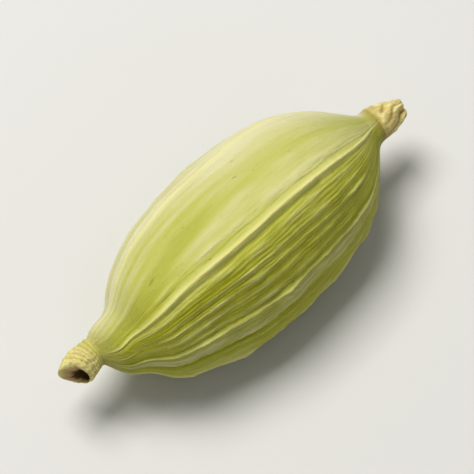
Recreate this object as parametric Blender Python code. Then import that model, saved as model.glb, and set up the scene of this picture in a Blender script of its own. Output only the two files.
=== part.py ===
"""A whole dried green cardamom pod, lying on one of its three faces.

Metres, +Z up. The pod runs along X, from the stub of its stalk at -X to the remains of its flower
at +X. One of its three ridges is on top and leans to the -Y side. Z is zero on the small flat spot
that the pod rests on. The husk is one closed, ribbed solid. The stub and the flower's remains each
have a short root, which sits with a hair's breadth of room in a shallow socket in the husk's end.
"""

from math import atan2, cos, exp, hypot, pi, radians, sin, tau

import bmesh
import bpy
from mathutils import Vector

MM = 0.001

# The husk's outline, and the sideways drift of its centre line
HUSK_LENGTH = 16.3 * MM
HALF_WIDTH = 3.9 * MM
WIDEST = 0.5
STALK_NECK = 0.17
FLOWER_NECK = 0.21
WAIST_AT = 0.085
WAIST_DEPTH = 0.19
WAIST_BREADTH = 0.045
DRIFT = (
    (0.0, -0.02 * MM),
    (0.05, -0.4 * MM),
    (0.12, -0.5 * MM),
    (0.25, -0.22 * MM),
    (0.4, -0.05 * MM),
    (0.6, 0.22 * MM),
    (0.75, 0.31 * MM),
    (0.9, 0.28 * MM),
    (1.0, 0.5 * MM),
)

# Its three-sided section
SECTION_HEIGHT = 0.95
TRIANGLE = 0.075
HEXAGON = 0.012
LEAN = radians(19.5)
AXIS_HEIGHT = 3.36 * MM

# Its ribs, with a ridge on each corner and a lower one down the middle of each face
FACES = 3
RIBS_PER_FACE = 12
RIB_HEIGHT = 0.11 * MM
CORNER_RIDGE_HEIGHT = 0.15 * MM
FACE_RIDGE_HEIGHT = 0.08 * MM
RIDGE_ANGLE = radians(3.5)
PUCKER = 0.05

# The long hollow between the top ridge and the far side
TROUGH_ANGLE = radians(-26)
TROUGH_SWERVE = radians(12)
TROUGH_BREADTH = radians(11)
TROUGH_DEPTH = 0.1 * MM
TROUGH_AT_STALK = 1.9
TROUGH_AT_FLOWER = 0.3

# The smooth patch round the flat spot, and the soft waves that the seeds and the drying left
PATCH_ANGLE = radians(34)
PATCH_REACH = 0.2
WAVE = 0.013

# The stub of the stalk
STUB_OUT = 1.75 * MM
STUB_RADIUS = 0.7 * MM
STUB_FLARE = 0.12
STUB_BEND = 0.15 * MM
STUB_RINGS = (0.1, 0.27, 0.44, 0.62, 0.8)
RING_DEPTH = 0.05
RING_BREADTH = 0.05
STUB_NEAR_SLANT = 0.85 * MM
STUB_TOP_SLANT = 0.25 * MM
STUB_CROWN = 0.42
CROWN_FROM = 0.5
STUB_HOLLOW = 0.16 * MM

# The remains of the flower
REMAINS_OUT = 1.55 * MM
REMAINS_RADIUS = 0.82 * MM
REMAINS_TAPER = 0.42
REMAINS_LOBES = 3
LOBE_DEPTH = 0.13
LOBE_NOTCH = 0.1 * MM
REMAINS_PLEATS = 3.5
PLEAT_DEPTH = 0.22
PLEAT_TWIST = 0.9
REMAINS_FALL = 0.06 * MM
REMAINS_DIP = 0.06 * MM
REMAINS_HOLLOW = 0.14 * MM

# The sockets that hold both ends
SOCKET_RADIUS = 0.42 * MM
SOCKET_DEPTH = 0.22 * MM
ROOM = 0.04 * MM

# How finely each surface is divided
HUSK_AROUND = FACES * RIBS_PER_FACE * 4
HUSK_ALONG = 32
CROWDING = 0.5
END_AROUND = 28
END_ALONG = 20

HUSK_START = (STUB_OUT - HUSK_LENGTH - REMAINS_OUT) / 2


def smooth_through(stations, at):
    """A smooth curve through (place, value) stations, read at one place."""
    places, values = zip(*stations)
    last = len(stations) - 1
    slopes = []
    for i in range(last + 1):
        before, after = max(i - 1, 0), min(i + 1, last)
        slopes.append((values[after] - values[before]) / (places[after] - places[before]))
    i = next((i for i in range(last) if at <= places[i + 1]), last - 1)
    gap = places[i + 1] - places[i]
    s = (at - places[i]) / gap
    start = (1 + 2 * s) * (1 - s) ** 2 * values[i] + s * (1 - s) ** 2 * gap * slopes[i]
    end = s * s * (3 - 2 * s) * values[i + 1] - s * s * (1 - s) * gap * slopes[i + 1]
    return start + end


def fade(value, start, end):
    """0 before start and 1 after end, smoothly."""
    s = min(max((value - start) / (end - start), 0), 1)
    return s * s * (3 - 2 * s)


def crest(distance, breadth):
    """1 on a ridge line, falling off on both sides of it."""
    return exp(-((distance / breadth) ** 2))


def plumpness(along):
    """The husk's radius as a share of its widest, from its stalk end, 0, to its flower end, 1."""
    if along < WIDEST:
        body = (1 - ((WIDEST - along) / WIDEST) ** 1.8) ** 0.55
        body *= 1 - WAIST_DEPTH * crest(along - WAIST_AT, WAIST_BREADTH)
        neck = STALK_NECK
    else:
        body = 1 - ((along - WIDEST) / (1 - WIDEST)) ** 3.3
        neck = FLOWER_NECK
    return (max(body, 0) ** 4 + neck**4) ** 0.25


def axis_point(along):
    """The husk's centre line."""
    return Vector((HUSK_START + along * HUSK_LENGTH, smooth_through(DRIFT, along), AXIS_HEIGHT))


def turn_to_corner(angle):
    """The angle to the nearest of the section's three corners."""
    face = tau / FACES
    return (angle + face / 2) % face - face / 2


def trough_shape(along, angle):
    """How deep the long hollow is at a place, deepest near the stalk, as a share of its mean depth."""
    depth = TROUGH_AT_STALK + (TROUGH_AT_FLOWER - TROUGH_AT_STALK) * along
    middle = TROUGH_ANGLE + TROUGH_SWERVE * (1 - fade(along, 0.1, 0.4))
    return depth * crest(angle - middle, TROUGH_BREADTH)


def relief(along, angle):
    """How far the ribs, the ridges and the trough stand out of the husk."""
    ends = fade(along, 0, PUCKER) * fade(1 - along, 0, PUCKER)
    size = ends * plumpness(along) ** 0.8
    far_side = fade(-sin(angle), 0.1, 0.9)
    strength = 1 + 0.25 * sin(5 * angle + 1) + 0.2 * sin(7 * angle + 6 * along) - 0.4 * far_side
    ribs = strength * RIB_HEIGHT * ((1 + cos(FACES * RIBS_PER_FACE * angle)) / 2) ** 1.5
    corner_ridge = CORNER_RIDGE_HEIGHT * crest(turn_to_corner(angle), RIDGE_ANGLE)
    face_ridge = FACE_RIDGE_HEIGHT * crest(turn_to_corner(angle - pi), RIDGE_ANGLE)
    trough = -TROUGH_DEPTH * trough_shape(along, angle)
    under = fade(abs(angle), pi - PATCH_ANGLE, pi - PATCH_ANGLE / 2)
    middle = 1 - fade(abs(along - WIDEST), PATCH_REACH, PATCH_REACH + 0.1)
    return size * (ribs + corner_ridge + face_ridge + trough) * (1 - under * middle)


def waves(along, angle):
    """Soft swellings and hollows, as a share of the radius."""
    slow = sin(tau * 1.6 * along + 2 * angle + 0.6)
    quick = sin(tau * 2.7 * along - 3 * angle + 2.1) * sin(2 * angle + 0.4)
    return WAVE * (slow + 0.7 * quick)


def husk_point(along, angle):
    """A point of the husk's surface. The angle is counted from the top ridge, round by the near side."""
    lean = LEAN * ((1 + cos(angle)) / 2) ** 2
    wander = radians(1.1) * sin(5 * angle + 2.3) + radians(0.7) * sin(11 * angle - 4 * along)
    swell = max(sin(pi * along), 0) ** 0.5
    section = TRIANGLE * cos(FACES * angle) + HEXAGON * cos(2 * FACES * angle) + waves(along, angle)
    radius = HALF_WIDTH * plumpness(along) * (1 + swell * section) + relief(along, angle)
    direction = angle + lean + wander * swell
    across = -radius * sin(direction)
    height = radius * cos(direction) * (1 + swell * (SECTION_HEIGHT - 1))
    return axis_point(along) + Vector((0, across, height))


def turned(outline, steps):
    """A closed surface turned round the X axis from an outline of (x, radius) that ends on the axis."""
    mesh = bmesh.new()
    corners = [mesh.verts.new((x, 0, radius)) for x, radius in outline]
    sides = [mesh.edges.new(pair) for pair in zip(corners, corners[1:])]
    bmesh.ops.spin(
        mesh, geom=corners + sides, cent=(0, 0, 0), axis=(1, 0, 0), angle=tau, steps=steps, use_merge=True
    )
    bmesh.ops.remove_doubles(mesh, verts=mesh.verts, dist=1e-7)
    bmesh.ops.recalc_face_normals(mesh, faces=mesh.faces)
    return mesh


def turned_peg(radius_at, length, hollow):
    """A peg along +X: a root for the socket, a body and a shallow hollow in its far end."""
    root_end = ROOM - SOCKET_DEPTH
    root_radius = SOCKET_RADIUS - ROOM
    root = [(root_end, 0), (root_end, root_radius), (ROOM, root_radius)]
    shares = [step / END_ALONG for step in range(END_ALONG + 1)]
    body = [(ROOM + share * (length - ROOM), radius_at(share)) for share in shares]
    rim = radius_at(1)
    bottom = length - hollow
    cup = [(length - hollow / 2, 0.7 * rim), (bottom, 0.35 * rim), (bottom, 0)]
    return turned([*root, *body, *cup], END_AROUND)


def principled(name, colour, roughness):
    """A plain material, from a colour in sRGB."""
    material = bpy.data.materials.new(name)
    material.use_nodes = True
    shader = material.node_tree.nodes["Principled BSDF"]
    shader.inputs["Base Color"].default_value = (*(channel**2.2 for channel in colour), 1)
    shader.inputs["Roughness"].default_value = roughness
    shader.inputs["Metallic"].default_value = 0
    return material


def finished(name, mesh, material):
    """The object made from a mesh, shaded smooth but for its sharp rims."""
    data = bpy.data.meshes.new(name)
    mesh.to_mesh(data)
    mesh.free()
    data.materials.append(material)
    data.shade_smooth()
    data.set_sharp_from_angle(angle=radians(50))
    piece = bpy.data.objects.new(name, data)
    bpy.context.scene.collection.objects.link(piece)
    return piece


def cut_flat_spot(mesh):
    """Cuts away what is below Z = 0 and closes the cut with one flat face."""
    flat = bmesh.ops.bisect_plane(
        mesh,
        geom=[*mesh.verts, *mesh.edges, *mesh.faces],
        dist=1e-7,
        plane_co=(0, 0, 0),
        plane_no=(0, 0, -1),
        clear_outer=True,
    )
    rim = [edge for edge in flat["geom_cut"] if isinstance(edge, bmesh.types.BMEdge)]
    bmesh.ops.edgeloop_fill(mesh, edges=rim)
    bmesh.ops.recalc_face_normals(mesh, faces=mesh.faces)


def make_husk():
    """The husk, turned as a plain spindle whose points then take the pod's true surface."""
    socket = [(SOCKET_DEPTH, 0), (SOCKET_DEPTH, SOCKET_RADIUS), (0, SOCKET_RADIUS + ROOM)]
    far_socket = [(HUSK_LENGTH - x, radius) for x, radius in reversed(socket)]
    steps = [step / HUSK_ALONG for step in range(HUSK_ALONG + 1)]
    stations = [step - CROWDING * sin(tau * step) / tau for step in steps]
    body = [(along * HUSK_LENGTH, HALF_WIDTH * plumpness(along)) for along in stations]
    mesh = turned([*socket, *body, *far_socket], HUSK_AROUND)
    for vertex in mesh.verts:
        x, y, z = vertex.co
        along = min(max(x / HUSK_LENGTH, 0), 1)
        if hypot(y, z) > SOCKET_RADIUS + 2 * ROOM:
            vertex.co = husk_point(along, atan2(-y, z))
        else:
            end = axis_point(round(along))
            vertex.co = (HUSK_START + x, end.y + y, end.z + z)
    cut_flat_spot(mesh)
    return finished("husk", mesh, principled("dry_green_husk", (0.74, 0.76, 0.42), 0.6))


def make_stub():
    """The stub: a ringed peg with a rounded far shoulder, broken off on a slant that faces the near side."""

    def radius_at(share):
        rings = sum(crest(share - ring, RING_BREADTH) for ring in STUB_RINGS)
        return STUB_RADIUS * (1 - RING_DEPTH * rings + STUB_FLARE * share)

    mesh = turned_peg(radius_at, STUB_OUT, STUB_HOLLOW)
    for vertex in mesh.verts:
        x, y, z = vertex.co
        share = max(x / STUB_OUT, 0)
        far = (1 - y / STUB_RADIUS) / 2
        crown = 1 - STUB_CROWN * far * max((share - CROWN_FROM) / (1 - CROWN_FROM), 0) ** 2
        lumps = 1 + 0.06 * share * sin(3 * atan2(y, z) + 1)
        slant = STUB_NEAR_SLANT * (1 - far) + STUB_TOP_SLANT * (1 + z / STUB_RADIUS) / 2
        vertex.co = (x - share * slant, y * lumps * crown + share * STUB_BEND, z * lumps)
    piece = finished("stem_stub", mesh, principled("dry_stalk", (0.66, 0.6, 0.36), 0.7))
    piece.location = axis_point(0)
    piece.rotation_euler.z = pi
    return piece


def make_remains():
    """The flower's remains: a blunt knob of crumpled folds, with a hollow end that dips to the near side."""

    def radius_at(share):
        return REMAINS_RADIUS * (1 - REMAINS_TAPER * share**2)

    mesh = turned_peg(radius_at, REMAINS_OUT, REMAINS_HOLLOW)
    for vertex in mesh.verts:
        x, y, z = vertex.co
        share = max(x / REMAINS_OUT, 0)
        angle = atan2(-y, z)
        pleats = abs(sin(REMAINS_PLEATS * (angle + PLEAT_TWIST * share)))
        folds = LOBE_DEPTH * sin(REMAINS_LOBES * angle + 2 * share) + PLEAT_DEPTH * (pleats - 0.6)
        notch = LOBE_NOTCH * (1 - sin(REMAINS_LOBES * angle + 2)) / 2
        spread = 1 + share * folds
        vertex.co = (x - share * notch, y * spread - share * REMAINS_FALL, z * spread - share * REMAINS_DIP)
    piece = finished("flower_remnant", mesh, principled("dry_flower", (0.74, 0.66, 0.4), 0.8))
    piece.location = axis_point(1)
    return piece


for item in list(bpy.data.objects):
    bpy.data.objects.remove(item, do_unlink=True)
make_husk()
make_stub()
make_remains()
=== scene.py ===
"""A dried green cardamom pod on a pale table, lit from the upper left.

Metres, +Z up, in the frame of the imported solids. The pod runs along X from the stub of its stalk to the
remains of its flower. Its three pieces are turned shapes whose points are then moved by the pod's own
formulas, the same as in the solids but with the finer ribs, fibres, creases and torn edges added.
"""

import random
from functools import lru_cache
from math import atan2, cos, exp, hypot, pi, radians, sin, tau

import bmesh
import bpy
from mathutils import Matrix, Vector, noise


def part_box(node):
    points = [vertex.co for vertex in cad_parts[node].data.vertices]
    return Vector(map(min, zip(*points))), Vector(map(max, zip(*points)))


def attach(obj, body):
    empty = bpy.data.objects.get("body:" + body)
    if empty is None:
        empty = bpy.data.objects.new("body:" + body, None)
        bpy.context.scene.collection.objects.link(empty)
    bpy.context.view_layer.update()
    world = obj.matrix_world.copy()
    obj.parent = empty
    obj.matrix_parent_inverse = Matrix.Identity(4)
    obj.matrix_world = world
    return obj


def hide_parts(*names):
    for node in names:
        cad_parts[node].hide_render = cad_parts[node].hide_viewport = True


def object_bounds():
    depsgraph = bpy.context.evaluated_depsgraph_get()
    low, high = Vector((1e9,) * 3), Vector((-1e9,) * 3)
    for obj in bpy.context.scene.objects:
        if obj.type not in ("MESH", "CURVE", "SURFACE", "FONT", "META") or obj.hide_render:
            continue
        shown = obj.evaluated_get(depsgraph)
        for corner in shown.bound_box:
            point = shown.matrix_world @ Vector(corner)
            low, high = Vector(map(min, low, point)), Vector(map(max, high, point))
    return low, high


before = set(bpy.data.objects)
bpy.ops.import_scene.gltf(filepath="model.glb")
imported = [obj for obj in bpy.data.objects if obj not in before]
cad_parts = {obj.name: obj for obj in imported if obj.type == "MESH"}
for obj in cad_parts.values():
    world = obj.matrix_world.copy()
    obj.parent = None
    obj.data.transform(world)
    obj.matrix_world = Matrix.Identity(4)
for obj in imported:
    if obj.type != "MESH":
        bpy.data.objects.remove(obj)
solid_low, solid_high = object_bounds()
solid_middle = (solid_low + solid_high) / 2
husk_low, husk_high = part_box("husk")

MM = 0.001

# The husk's outline, and the sideways drift of its centre line
HUSK_START = husk_low[0]
HUSK_LENGTH = husk_high[0] - husk_low[0]
HALF_WIDTH = 3.9 * MM
WIDEST = 0.5
STALK_NECK = 0.17
FLOWER_NECK = 0.21
WAIST_AT = 0.085
WAIST_DEPTH = 0.19
WAIST_BREADTH = 0.045
DRIFT = (
    (0.0, -0.02 * MM),
    (0.05, -0.4 * MM),
    (0.12, -0.5 * MM),
    (0.25, -0.22 * MM),
    (0.4, -0.05 * MM),
    (0.6, 0.22 * MM),
    (0.75, 0.31 * MM),
    (0.9, 0.28 * MM),
    (1.0, 0.5 * MM),
)

# Its three-sided section
SECTION_HEIGHT = 0.95
TRIANGLE = 0.075
HEXAGON = 0.012
LEAN = radians(19.5)
AXIS_HEIGHT = 3.36 * MM

# Its ribs, with a ridge on each corner and a lower one down the middle of each face
FACES = 3
RIBS_PER_FACE = 12
RIB_HEIGHT = 0.1 * MM
CORNER_RIDGE_HEIGHT = 0.14 * MM
FACE_RIDGE_HEIGHT = 0.08 * MM
RIDGE_ANGLE = radians(2.2)
RIB_SEED = 11
RIB_FADE = 0.14
PUCKER = 0.05

# The smooth patch round the flat spot, and the soft waves that the seeds and the drying left
PATCH_ANGLE = radians(34)
PATCH_REACH = 0.2
PATCH_EDGE = 0.1
WAVE = 0.013

# The long hollow between the top ridge and the far side
TROUGH_ANGLE = radians(-26)
TROUGH_SWERVE = radians(12)
TROUGH_BREADTH = radians(11)
TROUGH_DEPTH = 0.1 * MM
TROUGH_AT_STALK = 1.9
TROUGH_AT_FLOWER = 0.3

# What only this finer husk has: ribs that wander and fade, strands between them, creases and dents
RIB_WANDER = radians(1.6)
RIB_JITTER = radians(0.9)
STRANDS_PER_RIB = 3
STRAND_HEIGHT = 0.022 * MM
CREASE_HEIGHT = 0.042 * MM
DENT_DEPTH = 0.03 * MM
GROOVE_ANGLE = radians(5)
GROOVE_DEPTH = 0.05 * MM
NECK_TWIST = radians(18)
TWIST_REACH = 0.09

# The face between the top ridge and the far side, where the ribs are faint, counted from that ridge
SMOOTH_FROM = radians(16)
SMOOTH_TO = radians(80)
SMOOTH_GONE = radians(104)

# Where the husk's colour changes, along its length and round it from the top ridge: painted shade over the
# far face's hollow, a band of painted highlight along the far edge and a line of painted bounce light on the
# near face
MEAN_PALENESS = 0.32
STALK_TINT_REACH = 0.05
FLOWER_TINT_REACH = 0.03
# painted shade: a darker green over the hollow of the far face
FAR_SHADE_ANGLE = radians(-30)
FAR_SHADE_BREADTH = radians(26)
FAR_BAND_ANGLE = radians(-66)
FAR_BAND_BREADTH = radians(23)
# the line of painted bounce light on the near face
NEAR_LINE_ANGLE = radians(72)
NEAR_LINE_BREADTH = radians(11)

# The stub of the stalk
STUB_OUT = 1.75 * MM
STUB_RADIUS = 0.7 * MM
STUB_FLARE = 0.12
STUB_BEND = 0.15 * MM
STUB_RINGS = (0.1, 0.27, 0.44, 0.62, 0.8)
RING_DEPTH = 0.05
RING_BREADTH = 0.05
STUB_NEAR_SLANT = 0.85 * MM
STUB_TOP_SLANT = 0.25 * MM
STUB_CROWN = 0.42
CROWN_FROM = 0.5
STUB_HOLLOW = 0.5 * MM
STUB_WALL = 0.4 * MM
STUB_BULGE = 0.12 * MM
SCAR_SHIFT = 0.33 * MM
SCAR_SINK = 0.22 * MM
SCAR_TEARS = 0.1 * MM

# The remains of the flower
REMAINS_OUT = 1.34 * MM
REMAINS_RADIUS = 0.82 * MM
REMAINS_TAPER = 0.42
REMAINS_LOBES = 3
LOBE_DEPTH = 0.1
LOBE_NOTCH = 0.1 * MM
REMAINS_PLEATS = 3.5
PLEAT_DEPTH = 0.22
PLEAT_TWIST = 0.9
REMAINS_FALL = 0.06 * MM
REMAINS_DIP = 0.06 * MM
REMAINS_HOLLOW = 0.25 * MM
REMAINS_WALL = 0.42 * MM
REMAINS_BULGE = 0.26 * MM
REMAINS_CRUMPLE = 0.14
REMAINS_TEARS = 0.06 * MM

# The sockets in both ends of the husk, and the roots that sit in them
SOCKET_RADIUS = 0.42 * MM
SOCKET_DEPTH = 0.22 * MM
ROOT_RADIUS = SOCKET_RADIUS * 0.9
ROOT_DEPTH = SOCKET_DEPTH * 0.8

# How finely each surface is divided
HUSK_AROUND = FACES * RIBS_PER_FACE * 12
HUSK_ALONG = 210
CROWDING = 0.5
END_AROUND = 160
END_ALONG = 90
LIP_STEPS = 16
SAME_POINT = 1e-8

# The table, the camera and the lights
TABLE_REACH = 0.6
TABLE_COLOUR = (0.62, 0.62, 0.61, 1)
LENS_MM = 250
AZIMUTH = radians(40)
ELEVATION = radians(65)
VIEW_WIDTH = 20.5 * MM
CLIP_START = 0.005
LIGHT_DISTANCE = 0.25
LIGHT_SIZE = 0.12
KEY_WATTS = 0.6
KEY_COLOUR = (1, 0.98, 0.94)
FILL_WATTS = 0.045
FILL_COLOUR = (1, 1, 1)
ROOM_LIGHT = 0.262


def smooth_through(stations, at):
    """A smooth curve through (place, value) stations, read at one place."""
    places, values = zip(*stations)
    last = len(stations) - 1
    slopes = []
    for i in range(last + 1):
        before, after = max(i - 1, 0), min(i + 1, last)
        slopes.append((values[after] - values[before]) / (places[after] - places[before]))
    i = next((i for i in range(last) if at <= places[i + 1]), last - 1)
    gap = places[i + 1] - places[i]
    s = (at - places[i]) / gap
    start = (1 + 2 * s) * (1 - s) ** 2 * values[i] + s * (1 - s) ** 2 * gap * slopes[i]
    end = s * s * (3 - 2 * s) * values[i + 1] - s * s * (1 - s) * gap * slopes[i + 1]
    return start + end


def fade(value, start, end):
    """0 before start and 1 after end, smoothly."""
    s = min(max((value - start) / (end - start), 0), 1)
    return s * s * (3 - 2 * s)


def crest(distance, breadth):
    """1 on a ridge line, falling off on both sides of it."""
    return exp(-((distance / breadth) ** 2))


def rough(place, layers=4):
    """Uneven noise, with layers of finer noise in it."""
    return noise.fractal(place, 1.0, 2.0, layers)


@lru_cache(maxsize=None)
def plumpness(along):
    """The husk's radius as a share of its widest, from its stalk end, 0, to its flower end, 1."""
    if along < WIDEST:
        body = (1 - ((WIDEST - along) / WIDEST) ** 1.8) ** 0.55
        body *= 1 - WAIST_DEPTH * crest(along - WAIST_AT, WAIST_BREADTH)
        neck = STALK_NECK
    else:
        body = 1 - ((along - WIDEST) / (1 - WIDEST)) ** 3.3
        neck = FLOWER_NECK
    return (max(body, 0) ** 4 + neck**4) ** 0.25


@lru_cache(maxsize=None)
def axis_point(along):
    """The husk's centre line."""
    return Vector((HUSK_START + along * HUSK_LENGTH, smooth_through(DRIFT, along), AXIS_HEIGHT))


def turn_to_corner(angle):
    """The angle to the nearest of the section's three corners."""
    face = tau / FACES
    return (angle + face / 2) % face - face / 2


def on_skin(along, angle):
    """A place on the skin for noise to read, without a seam: one unit is the husk's half width."""
    return Vector((cos(angle), sin(angle), along * HUSK_LENGTH / HALF_WIDTH))


def rib_lives():
    """For each rib, how strong it is, and where along the husk it rises and sinks."""
    draw = random.Random(RIB_SEED)
    lives = []
    for _ in range(FACES * RIBS_PER_FACE):
        strength = draw.uniform(0.55, 1.25)
        rise = draw.uniform(-0.1, 0.12)
        sink = draw.uniform(0.86, 1.1)
        lives.append((strength, rise, sink))
    return lives


RIB_LIVES = rib_lives()


def rib_shape(along, angle):
    """The ribs' height, 0 to about 1, at a place of the skin."""
    place = on_skin(along, angle)
    wander = RIB_WANDER * noise.noise(place * 1.7) + RIB_JITTER * noise.noise(place * 4.5)
    turn = (angle + wander) / tau * FACES * RIBS_PER_FACE
    rib = round(turn)
    strength, rise, sink = RIB_LIVES[rib % len(RIB_LIVES)]
    life = fade(along, rise, rise + RIB_FADE) * (1 - fade(along, sink - RIB_FADE, sink))
    broken = max(0.7 + 1.5 * noise.noise(Vector((place.x * 5, place.y * 5, place.z * 3))), 0)
    return strength * life * broken * ((1 + cos(tau * turn)) / 2) ** 1.4


def strand_shape(along, angle):
    """The finer strands between the ribs, about -1 to 1."""
    place = on_skin(along, angle)
    wander = radians(1.2) * noise.noise(place * 3.1 + Vector((5, 1, 9)))
    strand = cos((angle + wander) * FACES * RIBS_PER_FACE * STRANDS_PER_RIB)
    return strand * (0.7 + noise.noise(place * 5))


def trough_shape(along, angle):
    """How deep the long hollow is at a place, deepest near the stalk, as a share of its mean depth."""
    depth = TROUGH_AT_STALK + (TROUGH_AT_FLOWER - TROUGH_AT_STALK) * along
    middle = TROUGH_ANGLE + TROUGH_SWERVE * (1 - fade(along, 0.1, 0.4))
    return depth * crest(angle - middle, TROUGH_BREADTH)


def smooth_side(angle):
    """1 on the face between the top ridge and the far side, where the ribs are faint, and 0 elsewhere."""
    return fade(-angle, 0, SMOOTH_FROM) * (1 - fade(-angle, SMOOTH_TO, SMOOTH_GONE))


def near_painted_light_and_shade(angle):
    """How much paler, or if below 0 greener, the near side is: a line of painted bounce light low on it, on
    a face darkened with painted shade.
    """
    # painted bounce light: a pale line down the lower near face
    line = 0.4 * crest(angle - NEAR_LINE_ANGLE, NEAR_LINE_BREADTH)
    # painted shade just below the top ridge
    shoulder = -0.12 * crest(angle - radians(18), radians(14))
    # painted shade over the whole near face
    face = -0.18 * fade(angle, radians(25), radians(55)) * (1 - fade(angle, radians(105), radians(120)))
    return line + shoulder + face


def trough_streaks_and_shade(along, angle):
    """How much paler, or if below 0 greener, the trough is: streaks in its half by the stalk, with painted
    shade in its bottom and beside it near the stalk.
    """
    place = on_skin(along, angle)
    stalk_half = 1 - fade(along, 0.3, 0.65)
    streak = 0.5 * stalk_half * noise.noise(Vector((place.x * 9, place.y * 9, place.z * 0.5)))
    # painted shade in the trough's bottom, stronger where the trough is deeper
    bottom = -(0.13 + 0.1 * stalk_half) * trough_shape(along, angle)
    # painted shade beside the trough, strongest by the stalk
    green = 0.18 + 0.2 * (1 - fade(along, 0.15, 0.35))
    beside = -green * stalk_half * crest(angle + radians(18), radians(26))
    return streak + bottom + beside


def paleness(along, angle):
    """How pale the skin is, 0 to about 1: palest with painted light along the lit far side, the far edge and
    the top ridge's far flank, and greener with painted shade on the near face and in the trough.
    """
    # painted light: the whole far face, which faces the key light, made paler
    lit_face_light = (0.22 - 0.16 * fade(along, 0.8, 0.96)) * smooth_side(angle)
    # painted highlight: a pale band along the far edge, where the surface turns toward the light
    far_band = (0.48 + 0.3 * fade(along, 0.45, 0.7)) * crest(angle - FAR_BAND_ANGLE, FAR_BAND_BREADTH)
    # painted light on the top ridge's far flank, which faces the light
    flank = (0.1 + 0.12 * along) * crest(angle + radians(8), radians(11))
    under = 0.2 * crest(abs(angle) - pi, radians(60))
    pale = MEAN_PALENESS + lit_face_light + far_band + flank + under
    return pale + near_painted_light_and_shade(angle) + trough_streaks_and_shade(along, angle)


def relief(along, angle):
    """How far the ribs, ridges, strands, creases, troughs and dents stand out of the husk."""
    ends = fade(along, 0, PUCKER) * fade(1 - along, 0, PUCKER)
    size = ends * plumpness(along) ** 0.8
    smooth = smooth_side(angle)
    place = on_skin(along, angle)
    calm = 0.55 * crest(angle - radians(14), radians(13))
    ribs = (1.1 - 0.75 * smooth) * (1 - calm) * RIB_HEIGHT * rib_shape(along, angle)
    corner_ridge = CORNER_RIDGE_HEIGHT * crest(turn_to_corner(angle), RIDGE_ANGLE)
    groove = GROOVE_DEPTH * (1 - 0.7 * fade(along, 0.55, 0.8))
    corner_ridge -= groove * crest(angle - GROOVE_ANGLE, RIDGE_ANGLE)
    face_ridge = FACE_RIDGE_HEIGHT * crest(turn_to_corner(angle - pi), RIDGE_ANGLE)
    strands = (1 - 0.6 * smooth) * STRAND_HEIGHT * strand_shape(along, angle)
    across = Vector((place.x * 3, place.y * 3, place.z * 12))
    creases = (1 - 0.8 * smooth) * CREASE_HEIGHT * rough(across, layers=3)
    dents = -DENT_DEPTH * abs(noise.noise(place * 1.9 + Vector((3, 7, 2)))) * 2
    under = fade(abs(angle), pi - PATCH_ANGLE, pi - PATCH_ANGLE / 2)
    middle = 1 - fade(abs(along - WIDEST), PATCH_REACH, PATCH_REACH + PATCH_EDGE)
    trough = -TROUGH_DEPTH * trough_shape(along, angle)
    standing = ribs + corner_ridge + face_ridge + strands + creases + dents + trough
    return size * standing * (1 - under * middle)


def waves(along, angle):
    """Soft swellings and hollows, as a share of the radius."""
    slow = sin(tau * 1.6 * along + 2 * angle + 0.6)
    quick = sin(tau * 2.7 * along - 3 * angle + 2.1) * sin(2 * angle + 0.4)
    return WAVE * (slow + 0.7 * quick)


def husk_point(along, angle):
    """A point of the husk's surface. The angle is counted from the top ridge, round by the near side."""
    lean = (LEAN + NECK_TWIST * (1 - fade(along, 0, TWIST_REACH))) * ((1 + cos(angle)) / 2) ** 2
    wander = radians(1.1) * sin(5 * angle + 2.3) + radians(0.7) * sin(11 * angle - 4 * along)
    swell = max(sin(pi * along), 0) ** 0.5
    section = TRIANGLE * cos(FACES * angle) + HEXAGON * cos(2 * FACES * angle) + waves(along, angle)
    radius = HALF_WIDTH * plumpness(along) * (1 + swell * section) + relief(along, angle)
    direction = angle + lean + wander * swell
    across = -radius * sin(direction)
    height = radius * cos(direction) * (1 + swell * (SECTION_HEIGHT - 1))
    return axis_point(along) + Vector((0, across, height))


def turned(outline, steps):
    """A closed surface turned round the X axis from an outline of (x, radius) that ends on the axis."""
    mesh = bmesh.new()
    corners = [mesh.verts.new((x, 0, radius)) for x, radius in outline]
    sides = [mesh.edges.new(pair) for pair in zip(corners, corners[1:])]
    bmesh.ops.spin(
        mesh,
        geom=corners + sides,
        cent=(0, 0, 0),
        axis=(1, 0, 0),
        angle=tau,
        steps=steps,
        use_merge=True,
    )
    bmesh.ops.remove_doubles(mesh, verts=mesh.verts, dist=SAME_POINT)
    bmesh.ops.recalc_face_normals(mesh, faces=mesh.faces)
    return mesh


def carried(mesh, *names):
    """Values that each point of the mesh carries, for its material to read under these names."""
    return [mesh.verts.layers.float.new(name) for name in names]


def finished(name, mesh, material, node):
    """The piece made from a mesh, which stands for one of the solids."""
    data = bpy.data.meshes.new(name)
    mesh.to_mesh(data)
    mesh.free()
    data.materials.append(material)
    data.shade_smooth()
    piece = bpy.data.objects.new(name, data)
    bpy.context.scene.collection.objects.link(piece)
    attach(piece, "root")
    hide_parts(node)
    return piece


def new_material(name, roughness, specular):
    """An empty material with its shader's plain values set."""
    material = bpy.data.materials.new(name)
    material.use_nodes = True
    shader = material.node_tree.nodes["Principled BSDF"]
    shader.inputs["Roughness"].default_value = roughness
    shader.inputs["Specular IOR Level"].default_value = specular
    return material, material.node_tree, shader


def add(tree, kind, inputs=(), **settings):
    """Adds a node with its settings, and sets or links its inputs."""
    made = tree.nodes.new(kind)
    for key, value in settings.items():
        setattr(made, key, value)
    for key, value in dict(inputs).items():
        if isinstance(value, bpy.types.NodeSocket):
            tree.links.new(value, made.inputs[key])
        else:
            made.inputs[key].default_value = value
    return made


def attribute(tree, name, output="Fac"):
    """A value that the mesh carries at each point."""
    return add(tree, "ShaderNodeAttribute", attribute_name=name).outputs[output]


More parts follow.
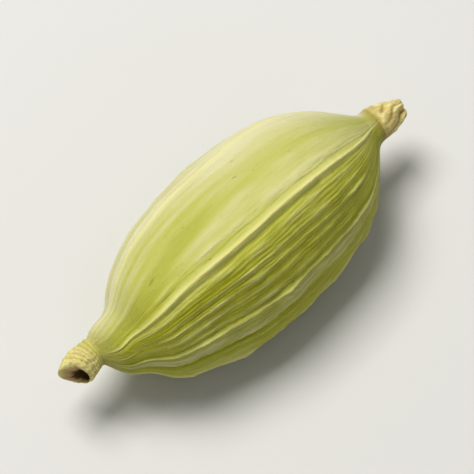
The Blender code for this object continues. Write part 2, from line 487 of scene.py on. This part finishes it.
def stretched_noise(tree, place, lengthwise, scale, detail=3):
    """Noise drawn out along the piece, more so the smaller its lengthwise scale is."""
    mapping = add(tree, "ShaderNodeMapping", {"Vector": place, "Scale": (1, 1, lengthwise)})
    inputs = {"Vector": mapping.outputs[0], "Scale": scale, "Detail": detail, "Roughness": 0.55}
    return add(tree, "ShaderNodeTexNoise", inputs).outputs["Fac"]


def between(tree, value, low, high):
    """0 where the value is below low and 1 where it is above high, smoothly."""
    inputs = {"Value": value, "From Min": low, "From Max": high}
    return add(tree, "ShaderNodeMapRange", inputs, interpolation_type="SMOOTHSTEP").outputs[0]


def tinted(tree, share, first, second):
    """The first colour, going over to the second by a share."""
    mixed = add(tree, "ShaderNodeMix", data_type="RGBA")
    for socket, value in ((0, share), (6, first), (7, second)):
        if isinstance(value, bpy.types.NodeSocket):
            tree.links.new(value, mixed.inputs[socket])
        elif socket == 0:
            mixed.inputs[socket].default_value = value
        else:
            mixed.inputs[socket].default_value = (*value, 1)
    return mixed.outputs[2]


def maths(tree, operation, first, second):
    """One sum of two values."""
    return add(tree, "ShaderNodeMath", {0: first, 1: second}, operation=operation).outputs[0]


def overlaid(tree, colour, *tints):
    """The colour with tints laid over it in turn, each a value, its share and the tint."""
    for value, share, tint in tints:
        colour = tinted(tree, maths(tree, "MULTIPLY", value, share), colour, tint)
    return colour


def bumped(tree, shader, height, distance):
    """Gives the shader a fine relief."""
    bump = add(tree, "ShaderNodeBump", {"Height": height, "Distance": distance, "Strength": 1})
    tree.links.new(bump.outputs[0], shader.inputs["Normal"])


def ramp(tree, value, stops):
    """A colour read from (place, colour) stops, the first at 0 and the last at 1."""
    made = add(tree, "ShaderNodeValToRGB", {"Fac": value})
    elements = made.color_ramp.elements
    elements[0].color = (*stops[0][1], 1)
    elements[1].color = (*stops[-1][1], 1)
    for place, colour in stops[1:-1]:
        elements.new(place).color = (*colour, 1)
    return made.outputs[0]


def total(tree, first, *shares):
    """A value with shares of other values added, each less its middle."""
    for value, middle, share in shares:
        part = maths(tree, "MULTIPLY", maths(tree, "SUBTRACT", value, middle), share)
        first = maths(tree, "ADD", first, part)
    return first


def husk_skin():
    """Dry husk: olive green where it is full, straw on its ridges, with drawn-out fibres and blemishes, and
    painted light and shade: paler on its lit far side, greener on its shaded near face, in its hollow and
    between its ribs.
    """
    material, tree, shader = new_material("dry_green_husk", 0.6, 0.2)
    shader.inputs["Sheen Weight"].default_value = 0.08
    shader.inputs["Sheen Roughness"].default_value = 0.5
    place = attribute(tree, "grain", "Vector")
    fine = stretched_noise(tree, place, 0.08, 34)
    broad = stretched_noise(tree, place, 0.12, 7)
    patches = stretched_noise(tree, place, 0.6, 1.6, detail=4)
    specks = stretched_noise(tree, place, 0.5, 16, detail=2)
    pores = stretched_noise(tree, place, 0.4, 60, detail=2)
    tone = total(
        tree,
        # the pale value carries painted light on the lit far side and painted shade on the near face and in
        # the trough
        attribute(tree, "pale"),
        # painted shade: darker between the ribs, paler on their crests
        (attribute(tree, "rib"), 0.3, 0.28),
        (fine, 0.5, 0.35),
        (broad, 0.5, 0.5),
        (patches, 0.5, 0.35),
    )
    stops = (
        (0.0, (0.36, 0.365, 0.018)),
        (0.28, (0.435, 0.44, 0.08)),
        (0.55, (0.52, 0.51, 0.2)),
        (1.0, (0.63, 0.605, 0.38)),
    )
    colour = overlaid(
        tree,
        ramp(tree, tone, stops),
        # painted shade over the far face's hollow
        (attribute(tree, "far_trough_shade"), 0.35, (0.45, 0.46, 0.18)),
        (attribute(tree, "ridge"), 0.85, (0.66, 0.635, 0.25)),
        (attribute(tree, "stalk_end"), 0.7, (0.54, 0.5, 0.15)),
        (attribute(tree, "flower_end"), 0.8, (0.38, 0.31, 0.08)),
        (between(tree, specks, 0.7, 0.78), 0.5, (0.22, 0.16, 0.03)),
    )
    tree.links.new(colour, shader.inputs["Base Color"])
    height = total(tree, fine, (broad, 0.5, 0.8), (pores, 0.5, 0.5))
    bumped(tree, shader, height, 0.05 * MM)
    return material


def stalk_wood():
    """Stalk: tan skin, greener at its foot, with painted shade in its ring creases and a brown lip round a
    broken scar, partly its own dark brown and partly painted shade.
    """
    material, tree, shader = new_material("dry_stalk", 0.65, 0.25)
    place = attribute(tree, "grain", "Vector")
    fibres = stretched_noise(tree, place, 0.15, 26)
    patches = stretched_noise(tree, place, 1, 3, detail=4)
    colour = overlaid(
        tree,
        tinted(tree, between(tree, patches, 0.3, 0.7), (0.62, 0.54, 0.2), (0.76, 0.71, 0.33)),
        (attribute(tree, "base"), 0.7, (0.5, 0.5, 0.12)),
        (between(tree, fibres, 0.5, 0.7), 0.35, (0.36, 0.28, 0.07)),
        # painted shade in the stalk's ring creases
        (attribute(tree, "crease_shade"), 0.45, (0.34, 0.26, 0.06)),
        (attribute(tree, "lip"), 1, (0.5, 0.34, 0.15)),
        # partly the scar's own dark brown, partly painted shade in its hollow
        (attribute(tree, "inside"), 1, (0.13, 0.08, 0.025)),
    )
    tree.links.new(colour, shader.inputs["Base Color"])
    bumped(tree, shader, fibres, 0.05 * MM)
    return material


def flower_paper():
    """Flower: thin, dry and tan, browner at its foot, with painted shade in its folds and inside its hollow
    end.
    """
    material, tree, shader = new_material("dry_flower_paper", 0.6, 0.25)
    shader.inputs["Sheen Weight"].default_value = 0.1
    place = attribute(tree, "grain", "Vector")
    veins = stretched_noise(tree, place, 0.12, 18)
    patches = stretched_noise(tree, place, 0.8, 2.5, detail=4)
    colour = overlaid(
        tree,
        tinted(tree, between(tree, patches, 0.35, 0.65), (0.58, 0.46, 0.17), (0.78, 0.72, 0.34)),
        (between(tree, veins, 0.5, 0.7), 0.35, (0.4, 0.28, 0.09)),
        (attribute(tree, "base"), 0.6, (0.38, 0.29, 0.07)),
        # painted shade in the folds
        (attribute(tree, "crease_shade"), 0.8, (0.27, 0.18, 0.045)),
        # painted shade inside the hollow end
        (attribute(tree, "inside"), 0.8, (0.14, 0.08, 0.02)),
    )
    tree.links.new(colour, shader.inputs["Base Color"])
    bumped(tree, shader, veins, 0.04 * MM)
    return material


def cut_flat_spot(mesh):
    """Cuts away what is below Z = 0 and closes the cut with one flat face."""
    flat = bmesh.ops.bisect_plane(
        mesh,
        geom=[*mesh.verts, *mesh.edges, *mesh.faces],
        dist=SAME_POINT,
        plane_co=(0, 0, 0),
        plane_no=(0, 0, -1),
        clear_outer=True,
    )
    rim = [edge for edge in flat["geom_cut"] if isinstance(edge, bmesh.types.BMEdge)]
    bmesh.ops.edgeloop_fill(mesh, edges=rim)
    bmesh.ops.recalc_face_normals(mesh, faces=mesh.faces)


def make_husk():
    """The husk: a plain turned spindle whose points take the pod's true surface."""
    socket = [(SOCKET_DEPTH, 0), (SOCKET_DEPTH, SOCKET_RADIUS), (0, SOCKET_RADIUS)]
    far_socket = [(HUSK_LENGTH - x, radius) for x, radius in reversed(socket)]
    steps = [step / HUSK_ALONG for step in range(HUSK_ALONG + 1)]
    stations = [step - CROWDING * sin(tau * step) / tau for step in steps]
    body = [(along * HUSK_LENGTH, HALF_WIDTH * plumpness(along)) for along in stations]
    mesh = turned([*socket, *body, *far_socket], HUSK_AROUND)
    grain = mesh.verts.layers.float_vector.new("grain")
    rib, ridge = carried(mesh, "rib", "ridge")
    stalk_end, flower_end, pale, far_trough_shade = carried(mesh, "stalk_end", "flower_end", "pale", "far_trough_shade")
    for vertex in mesh.verts:
        x, y, z = vertex.co
        along = min(max(x / HUSK_LENGTH, 0), 1)
        angle = atan2(-y, z)
        vertex[grain] = on_skin(along, angle)
        vertex[stalk_end] = 1 - fade(along, 0, STALK_TINT_REACH)
        vertex[flower_end] = 1 - fade(1 - along, 0, FLOWER_TINT_REACH)
        vertex[pale] = paleness(along, angle)
        # painted shade over the far face's hollow
        vertex[far_trough_shade] = crest(angle - FAR_SHADE_ANGLE, FAR_SHADE_BREADTH)
        if hypot(y, z) > 1.1 * SOCKET_RADIUS:
            vertex.co = husk_point(along, angle)
            # rib height, which the material uses for painted shade between the ribs
            vertex[rib] = rib_shape(along, angle) * (1 - 0.6 * smooth_side(angle))
            corner = crest(turn_to_corner(angle), RIDGE_ANGLE)
            vertex[ridge] = corner + 0.6 * crest(turn_to_corner(angle - pi), RIDGE_ANGLE)
        else:
            end = axis_point(round(along))
            vertex.co = (HUSK_START + x, end.y + y, end.z + z)
    cut_flat_spot(mesh)
    return finished("ribbed_husk", mesh, husk_skin(), "husk")


def peg_outline(radius_at, length, hollow, wall, crown):
    """The outline of a peg with a root, a body, a rounded crown of a wall's thickness and a hollow."""
    shares = [step / END_ALONG for step in range(END_ALONG + 1)]
    root = [(-ROOT_DEPTH, 0), (-ROOT_DEPTH, ROOT_RADIUS), (0, ROOT_RADIUS)]
    body = [(share * length, radius_at(share)) for share in shares]
    rim = radius_at(1)
    turns = [pi * step / LIP_STEPS for step in range(1, LIP_STEPS)]
    lip = [(length + crown * sin(turn), rim - wall * (1 - cos(turn)) / 2) for turn in turns]
    inner = [(length - share * hollow, (rim - wall) * (1 - 0.55 * share**2)) for share in shares[::4]]
    return [*root, *body, *lip, *inner, (length - hollow, 0)]


def make_stub():
    """The stub: a ringed peg with a rounded far shoulder, whose broken scar faces the near side."""

    def radius_at(share):
        rings = sum(crest(share - ring, RING_BREADTH) for ring in STUB_RINGS)
        return STUB_RADIUS * (1 - RING_DEPTH * rings + STUB_FLARE * share)

    outline = peg_outline(radius_at, STUB_OUT, STUB_HOLLOW, STUB_WALL, STUB_BULGE)
    mesh = turned(outline, END_AROUND)
    grain = mesh.verts.layers.float_vector.new("grain")
    inside, lip, crease_shade, base = carried(mesh, "inside", "lip", "crease_shade", "base")
    start = axis_point(0)
    for vertex in mesh.verts:
        x, y, z = vertex.co
        angle = atan2(y, z)
        radius = hypot(y, z)
        share = max(x / STUB_OUT, 0)
        skin = min(share, 1)
        place = Vector((cos(angle), sin(angle), x / STUB_RADIUS))
        vertex[grain] = place * (0.4 + 0.6 * radius / STUB_RADIUS)
        depth = min((radius_at(skin) - radius) / STUB_WALL, 2) if share > 0 else 0
        patchy = rough(place * 2.4 + Vector((4, 0, 0)))
        # partly the scar's own dark brown, partly painted shade in its hollow
        vertex[inside] = fade(depth + 0.25 * patchy, 0.75, 1.0)
        vertex[lip] = fade(depth + 0.3 * patchy, 0.25, 0.75)
        # painted shade in the ring creases
        vertex[crease_shade] = min(sum(crest(share - ring, RING_BREADTH * 0.6) for ring in STUB_RINGS), 1)
        vertex[base] = 1 - fade(share, 0.05, 0.45)
        far = (1 - y / STUB_RADIUS) / 2
        crown = 1 - STUB_CROWN * far * max((skin - CROWN_FROM) / (1 - CROWN_FROM), 0) ** 2
        lumps = 1 + 0.06 * skin * sin(3 * angle + 1) + 0.08 * skin * rough(place * 2.2)
        lumps += 0.02 * sin(17 * angle + 3 * noise.noise(place)) * fade(share, 0.05, 0.3)
        shift = SCAR_SHIFT * fade(depth, 0, 1)
        slant = STUB_NEAR_SLANT * (1 - far) + STUB_TOP_SLANT * (1 + z / STUB_RADIUS) / 2
        tears = SCAR_TEARS * fade(depth, 0.5, 1) * rough(place * 3)
        out = x - skin * slant + tears - SCAR_SINK * fade(depth, 0.2, 1)
        across = y * lumps * crown + shift + skin * STUB_BEND
        vertex.co = (start.x - out, start.y - across, start.z + z * lumps)
    bmesh.ops.recalc_face_normals(mesh, faces=mesh.faces)
    return finished("ringed_stub", mesh, stalk_wood(), "stem_stub")


def make_remains():
    """The flower's remains: a blunt, papery knob of crumpled folds that close over its end."""

    def radius_at(share):
        return REMAINS_RADIUS * (1 - REMAINS_TAPER * share**2)

    outline = peg_outline(radius_at, REMAINS_OUT, REMAINS_HOLLOW, REMAINS_WALL, REMAINS_BULGE)
    mesh = turned(outline, END_AROUND)
    grain = mesh.verts.layers.float_vector.new("grain")
    inside, crease_shade, base = carried(mesh, "inside", "crease_shade", "base")
    start = axis_point(1)
    for vertex in mesh.verts:
        x, y, z = vertex.co
        angle = atan2(-y, z)
        radius = hypot(y, z)
        share = max(x / REMAINS_OUT, 0)
        skin = min(share, 1)
        place = Vector((cos(angle), sin(angle), x / REMAINS_RADIUS))
        vertex[grain] = place * (0.5 + 0.5 * radius / REMAINS_RADIUS)
        depth = min((radius_at(skin) - radius) / REMAINS_WALL, 2) if share > 0 else 0
        # painted shade inside the hollow end
        vertex[inside] = fade(depth, 0.7, 1.1)
        twist = angle + PLEAT_TWIST * skin + 0.4 * noise.noise(place * 1.2)
        pleats = abs(sin(REMAINS_PLEATS * twist))
        crumple = rough(place * 2.1)
        # painted shade in the folds between the pleats
        vertex[crease_shade] = (1 - pleats) ** 2 * fade(share, 0.05, 0.4)
        vertex[base] = 1 - fade(share + 0.25 * crumple, 0.08, 0.4)
        folds = LOBE_DEPTH * sin(REMAINS_LOBES * angle + 2 * skin)
        folds += PLEAT_DEPTH * (pleats - 0.6) + REMAINS_CRUMPLE * crumple
        notch = LOBE_NOTCH * (1 - sin(REMAINS_LOBES * angle + 2)) / 2
        tears = REMAINS_TEARS * fade(share, 0.6, 1) * rough(place * 2.6)
        spread = 1 + skin * folds
        across = y * spread - skin * REMAINS_FALL
        height = z * spread - skin * REMAINS_DIP
        vertex.co = (start.x + x - skin * notch + tears, start.y + across, start.z + height)
    bmesh.ops.recalc_face_normals(mesh, faces=mesh.faces)
    return finished("papery_flower_remains", mesh, flower_paper(), "flower_remnant")


def make_table():
    """A plain pale table top."""
    mesh = bmesh.new()
    bmesh.ops.create_grid(mesh, x_segments=1, y_segments=1, size=TABLE_REACH)
    data = bpy.data.meshes.new("pale_table")
    mesh.to_mesh(data)
    mesh.free()
    material, _tree, shader = new_material("pale_table", 0.8, 0.2)
    shader.inputs["Base Color"].default_value = TABLE_COLOUR
    data.materials.append(material)
    table = bpy.data.objects.new("pale_table", data)
    bpy.context.scene.collection.objects.link(table)


def view_directions():
    """The camera's right, up and back directions: it looks down on the pod, from its near side."""
    right = Vector((cos(AZIMUTH), -sin(AZIMUTH), 0))
    ahead = Vector((sin(AZIMUTH), cos(AZIMUTH), 0))
    up = ahead * sin(ELEVATION) + Vector((0, 0, cos(ELEVATION)))
    return right, up, right.cross(up)


def make_camera():
    """A long lens, so that the pod keeps the photograph's flat perspective."""
    data = bpy.data.cameras.new("camera")
    data.lens = LENS_MM
    data.clip_start = CLIP_START
    camera = bpy.data.objects.new("camera", data)
    back = view_directions()[2]
    camera.location = solid_middle + back * (VIEW_WIDTH * LENS_MM / data.sensor_width)
    camera.rotation_euler = (-back).to_track_quat("-Z", "Y").to_euler()
    bpy.context.scene.collection.objects.link(camera)
    bpy.context.scene.camera = camera


def make_light(name, direction, watts, colour):
    """A square soft light that faces the pod."""
    data = bpy.data.lights.new(name, "AREA")
    data.size = LIGHT_SIZE
    data.energy = watts
    data.color = colour
    light = bpy.data.objects.new(name, data)
    light.location = solid_middle + direction.normalized() * LIGHT_DISTANCE
    light.rotation_euler = (-direction).to_track_quat("-Z", "Y").to_euler()
    bpy.context.scene.collection.objects.link(light)


def light_scene():
    """A key light from the upper left of the picture, a weak fill from the lower right, and a white room."""
    right, up, back = view_directions()
    make_light("key", up * 0.65 - right * 0.3 + back * 0.75, KEY_WATTS, KEY_COLOUR)
    make_light("fill", back * 0.7 - up * 0.6 + right * 0.8, FILL_WATTS, FILL_COLOUR)
    world = bpy.data.worlds.new("room")
    world.use_nodes = True
    background = world.node_tree.nodes["Background"]
    background.inputs["Color"].default_value = (1, 1, 1, 1)
    background.inputs["Strength"].default_value = ROOM_LIGHT
    bpy.context.scene.world = world
    bpy.context.scene.view_settings.view_transform = "Standard"
    bpy.context.scene.view_settings.look = "Medium High Contrast"


make_husk()
make_stub()
make_remains()
make_table()
make_camera()
light_scene()
